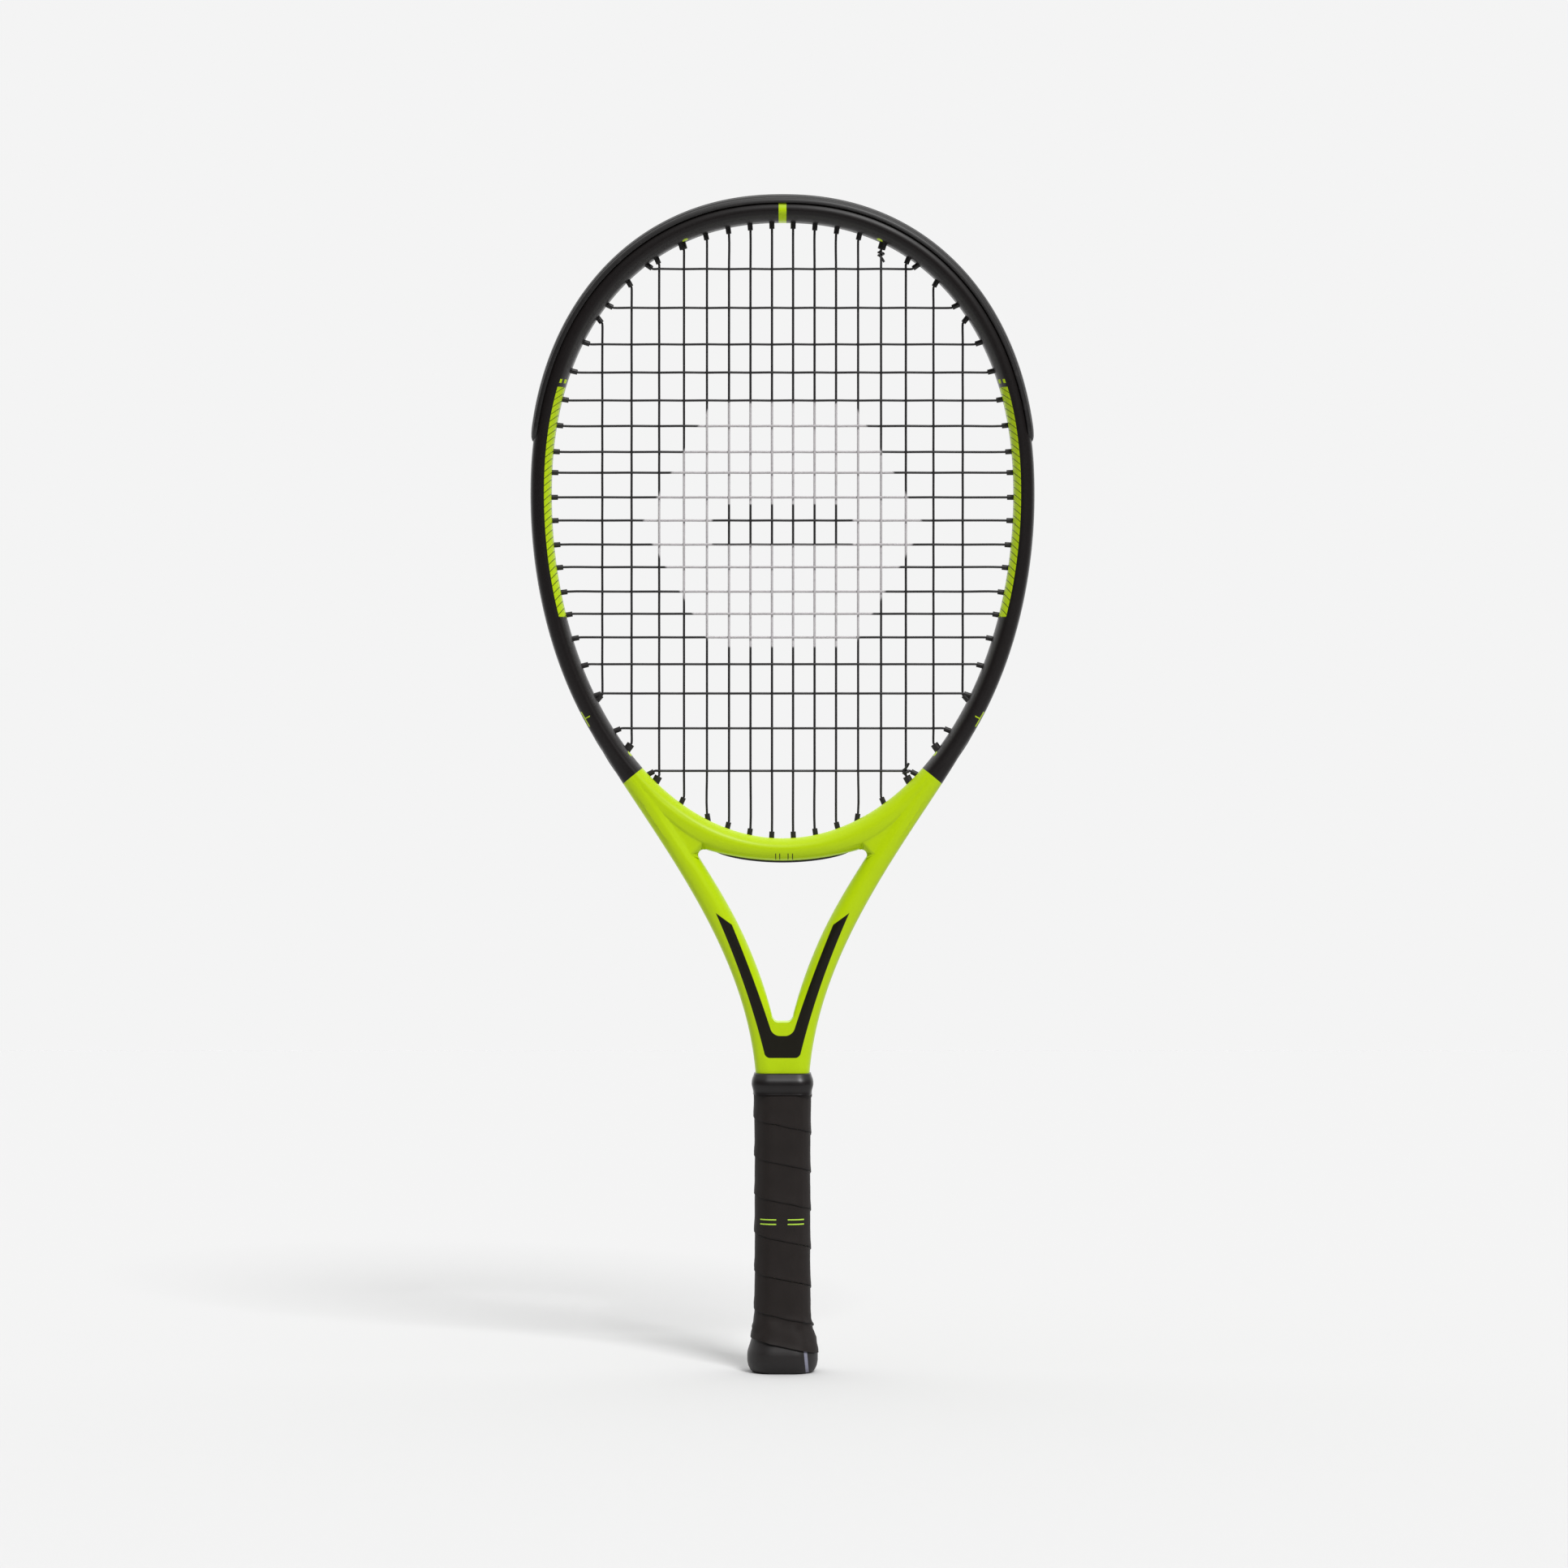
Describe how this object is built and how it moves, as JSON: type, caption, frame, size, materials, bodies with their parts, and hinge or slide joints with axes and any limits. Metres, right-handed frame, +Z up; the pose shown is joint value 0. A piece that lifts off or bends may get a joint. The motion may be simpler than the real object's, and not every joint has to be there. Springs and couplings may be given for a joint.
{
  "type": "tennis racket",
  "caption": "Junior tennis racket: hollow oval hoop with open throat, woven string bed, outer bumper guard and a spiral wrapped octagonal grip.",
  "frame": {"origin": "centre of the butt's bottom, on the surface the racket stands on", "axes": "+Z up along the handle towards the hoop's top, +X to the right in the plane of the strings, the front of the string bed faces -Y"},
  "size_m": [0.272, 0.0354, 0.635],
  "materials": {
    "frame_lacquer": "gloss lime and black lacquer over hollow graphite composite",
    "bumper_plastic": "satin black nylon",
    "grommet_plastic": "satin black nylon",
    "string_black": "smooth black coated synthetic gut",
    "pallet_foam": "moulded rigid foam",
    "cap_plastic": "moulded plastic, satin",
    "badge_plastic": "smooth plain badge",
    "staple_steel": "galvanised wire",
    "grip_leather": "black cushioned synthetic leather",
    "tape_vinyl": "black vinyl tape",
    "collar_rubber": "black moulded rubber"
  },
  "bodies": {
    "root": {"frame": "frame_lacquer", "throat_bridge": "frame_lacquer", "bumper_guard": "bumper_plastic", "grommet_strip_right": "grommet_plastic", "grommet_strip_left": "grommet_plastic", "grommet_strip_bridge": "grommet_plastic", "grommet_right_main_5": "grommet_plastic", "grommet_right_main_6": "grommet_plastic", "grommet_left_main_5": "grommet_plastic", "grommet_left_main_6": "grommet_plastic", "string": "string_black", "handle_pallet_front": "pallet_foam", "handle_pallet_back": "pallet_foam", "butt_cap": "cap_plastic", "butt_badge": "badge_plastic", "staple_1": "staple_steel", "staple_2": "staple_steel", "staple_3": "staple_steel", "staple_4": "staple_steel", "grip_tape": "grip_leather", "finishing_tape": "tape_vinyl", "rubber_collar": "collar_rubber"}
  },
  "joints": []
}
